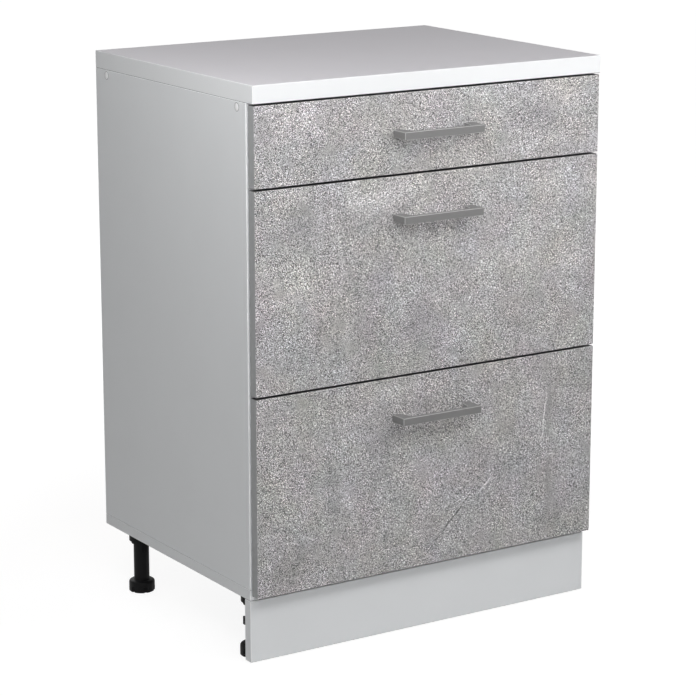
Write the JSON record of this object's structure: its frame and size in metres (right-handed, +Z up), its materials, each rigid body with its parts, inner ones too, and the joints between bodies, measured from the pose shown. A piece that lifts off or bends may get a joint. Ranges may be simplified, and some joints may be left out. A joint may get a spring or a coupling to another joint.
{
  "type": "base cabinet with drawers",
  "caption": "Kitchen base cabinet with worktop, roller-runner drawers behind concrete-look fronts, bow handles, clip-on plinth and adjustable legs.",
  "frame": {"origin": "on the floor, under the middle of the cabinet's outer box with its handles", "axes": "+Z up, drawers open towards -Y, +X to the right seen from the front"},
  "size_m": [0.6024, 0.488, 0.838],
  "materials": {
    "worktop_white": "satin white laminate on chipboard",
    "carcass_white": "white melamine on chipboard",
    "front_concrete": "concrete-look laminate, matt, with trowel marks",
    "hardboard": "thin hardboard, white on the inside",
    "handle_grey": "grey lacquered die-cast metal",
    "runner_white": "white powder-coated steel",
    "rod_grey": "grey powder-coated steel rod",
    "screw_zinc": "bright zinc plate",
    "roller_plastic": "off-white moulded plastic",
    "cap_white": "white moulded plastic",
    "leg_black": "black moulded plastic",
    "dowel_beech": "fluted beech"
  },
  "bodies": {
    "cabinet": {"worktop": "worktop_white", "side_panel_left": "carcass_white", "side_panel_right": "carcass_white", "bottom_panel": "carcass_white", "top_rail_front": "carcass_white", "top_rail_back": "carcass_white", "back_panel": "hardboard", "screw_cover_caps": "cap_white", "carcass_screws": "screw_zinc", "wood_dowels": "dowel_beech", "worktop_screws": "screw_zinc", "leg_sockets": "leg_black", "leg_tubes": "leg_black", "leg_socket_screws": "screw_zinc", "runner_screws": "screw_zinc", "runner_left_top": "runner_white", "runner_right_top": "runner_white", "runner_left_middle": "runner_white", "runner_right_middle": "runner_white", "runner_left_bottom": "runner_white", "runner_right_bottom": "runner_white"},
    "plinth": {"plinth_panel": "carcass_white", "plinth_clips": "leg_black", "plinth_clip_screws": "screw_zinc"},
    "foot_front_left": {"foot_front_left": "leg_black"},
    "foot_front_right": {"foot_front_right": "leg_black"},
    "foot_back_left": {"foot_back_left": "leg_black"},
    "foot_back_right": {"foot_back_right": "leg_black"},
    "top_drawer": {"top_drawer_front": "front_concrete", "top_drawer_handle": "handle_grey", "top_drawer_handle_screws": "screw_zinc", "top_drawer_side_left": "runner_white", "top_drawer_side_right": "runner_white", "top_drawer_base": "carcass_white", "top_drawer_back": "carcass_white", "top_drawer_box_screws": "screw_zinc"},
    "top_front_rollers": {"top_runner_rollers": "roller_plastic"},
    "top_rear_rollers": {"top_drawer_rollers": "roller_plastic"},
    "middle_drawer": {"middle_drawer_front": "front_concrete", "middle_drawer_handle": "handle_grey", "middle_drawer_handle_screws": "screw_zinc", "middle_drawer_side_left": "runner_white", "middle_drawer_side_right": "runner_white", "middle_drawer_base": "carcass_white", "middle_drawer_back": "carcass_white", "middle_drawer_box_screws": "screw_zinc", "middle_drawer_gallery_rods": "rod_grey"},
    "middle_front_rollers": {"middle_runner_rollers": "roller_plastic"},
    "middle_rear_rollers": {"middle_drawer_rollers": "roller_plastic"},
    "bottom_drawer": {"bottom_drawer_front": "front_concrete", "bottom_drawer_handle": "handle_grey", "bottom_drawer_handle_screws": "screw_zinc", "bottom_drawer_side_left": "runner_white", "bottom_drawer_side_right": "runner_white", "bottom_drawer_base": "carcass_white", "bottom_drawer_back": "carcass_white", "bottom_drawer_box_screws": "screw_zinc", "bottom_drawer_gallery_rods": "rod_grey"},
    "bottom_front_rollers": {"bottom_runner_rollers": "roller_plastic"},
    "bottom_rear_rollers": {"bottom_drawer_rollers": "roller_plastic"}
  },
  "joints": [
    {"name": "top_drawer_slide", "type": "slide", "parent": "cabinet", "child": "top_drawer", "axis": [0, -1, 0], "range_m": [0, 0.3]},
    {"name": "top_front_roller_turn", "type": "hinge", "parent": "cabinet", "child": "top_front_rollers", "pos_m": [0, -0.169, 0.738], "axis": [1, 0, 0], "range_deg": [-5, 1645]},
    {"name": "top_rear_roller_turn", "type": "hinge", "parent": "top_drawer", "child": "top_rear_rollers", "pos_m": [0, 0.189, 0.7355], "axis": [1, 0, 0], "range_deg": [-5, 1815]},
    {"name": "middle_drawer_slide", "type": "slide", "parent": "cabinet", "child": "middle_drawer", "axis": [0, -1, 0], "range_m": [0, 0.3]},
    {"name": "middle_front_roller_turn", "type": "hinge", "parent": "cabinet", "child": "middle_front_rollers", "pos_m": [0, -0.169, 0.443], "axis": [1, 0, 0], "range_deg": [-5, 1645]},
    {"name": "middle_rear_roller_turn", "type": "hinge", "parent": "middle_drawer", "child": "middle_rear_rollers", "pos_m": [0, 0.189, 0.4405], "axis": [1, 0, 0], "range_deg": [-5, 1815]},
    {"name": "bottom_drawer_slide", "type": "slide", "parent": "cabinet", "child": "bottom_drawer", "axis": [0, -1, 0], "range_m": [0, 0.3]},
    {"name": "bottom_front_roller_turn", "type": "hinge", "parent": "cabinet", "child": "bottom_front_rollers", "pos_m": [0, -0.169, 0.147], "axis": [1, 0, 0], "range_deg": [-5, 1645]},
    {"name": "bottom_rear_roller_turn", "type": "hinge", "parent": "bottom_drawer", "child": "bottom_rear_rollers", "pos_m": [0, 0.189, 0.1445], "axis": [1, 0, 0], "range_deg": [-5, 1815]},
    {"name": "foot_front_left_screw", "type": "slide", "parent": "cabinet", "child": "foot_front_left", "axis": [0, 0, -1], "range_m": [0, 0.02]},
    {"name": "foot_front_right_screw", "type": "slide", "parent": "cabinet", "child": "foot_front_right", "axis": [0, 0, -1], "range_m": [0, 0.02]},
    {"name": "foot_back_left_screw", "type": "slide", "parent": "cabinet", "child": "foot_back_left", "axis": [0, 0, -1], "range_m": [0, 0.02]},
    {"name": "foot_back_right_screw", "type": "slide", "parent": "cabinet", "child": "foot_back_right", "axis": [0, 0, -1], "range_m": [0, 0.02]},
    {"name": "plinth_pull_off", "type": "slide", "parent": "cabinet", "child": "plinth", "axis": [0, -1, 0], "range_m": [0, 0.1]}
  ],
  "couplings": [
    {"joint": "top_front_roller_turn", "follows": "top_drawer_slide", "rad_per_m": 95.238},
    {"joint": "top_rear_roller_turn", "follows": "top_drawer_slide", "rad_per_m": 105.26},
    {"joint": "middle_front_roller_turn", "follows": "middle_drawer_slide", "rad_per_m": 95.238},
    {"joint": "middle_rear_roller_turn", "follows": "middle_drawer_slide", "rad_per_m": 105.26},
    {"joint": "bottom_front_roller_turn", "follows": "bottom_drawer_slide", "rad_per_m": 95.238},
    {"joint": "bottom_rear_roller_turn", "follows": "bottom_drawer_slide", "rad_per_m": 105.26}
  ]
}
